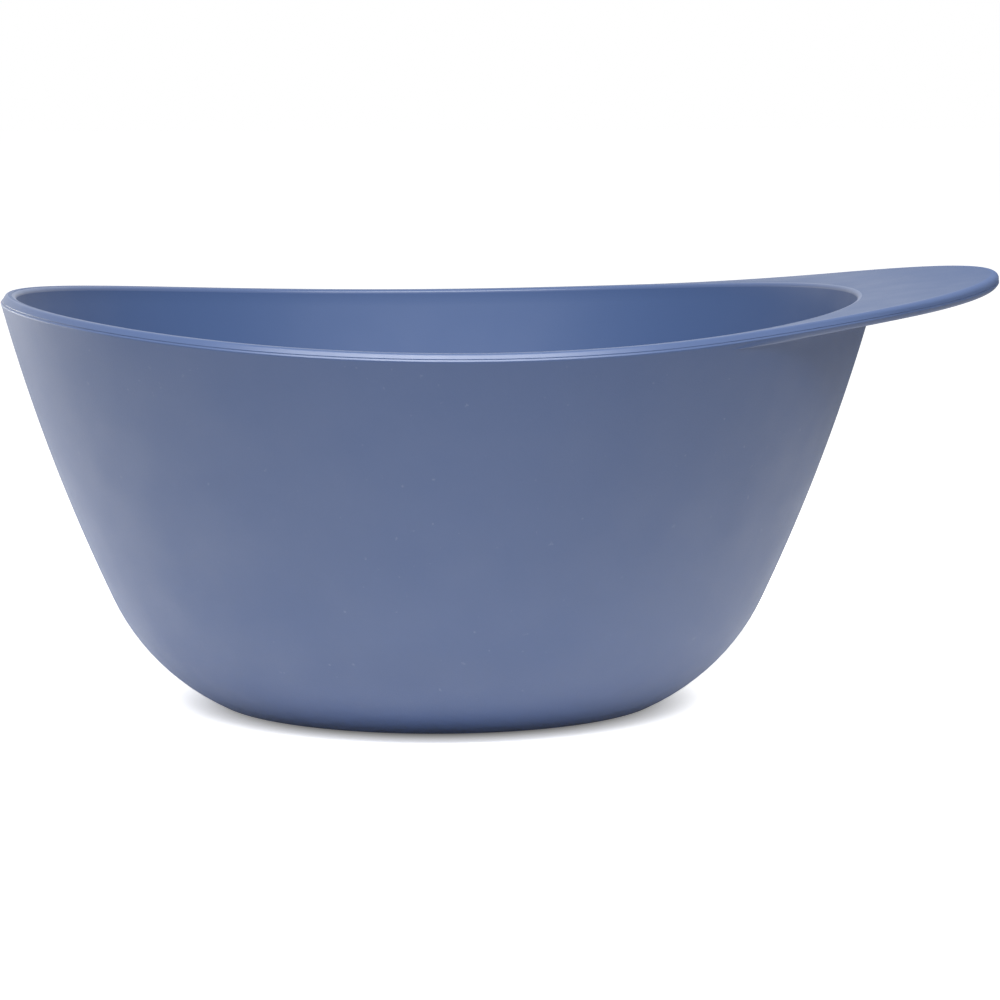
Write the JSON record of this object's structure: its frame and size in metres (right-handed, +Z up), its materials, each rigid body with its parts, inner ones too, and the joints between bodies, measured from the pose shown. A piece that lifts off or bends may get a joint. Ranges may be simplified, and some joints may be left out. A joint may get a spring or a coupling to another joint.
{
  "type": "hair color bowl",
  "caption": "Round tapered plastic bowl for mixing hair colour, with a swept rim that runs out into a flat thumb tab, on a rubber non-slip pad.",
  "frame": {"origin": "on the bowl's axis at the face that it rests on", "axes": "+Z up along the bowl's axis, +X towards the tip of the tab"},
  "size_m": [0.1495, 0.13, 0.0648],
  "materials": {
    "blue_plastic": "fine matte texture outside and on the rim, satin inside",
    "dark_rubber": "matte"
  },
  "bodies": {
    "root": {"bowl_shell": "blue_plastic", "non_slip_pad": "dark_rubber"}
  },
  "joints": []
}
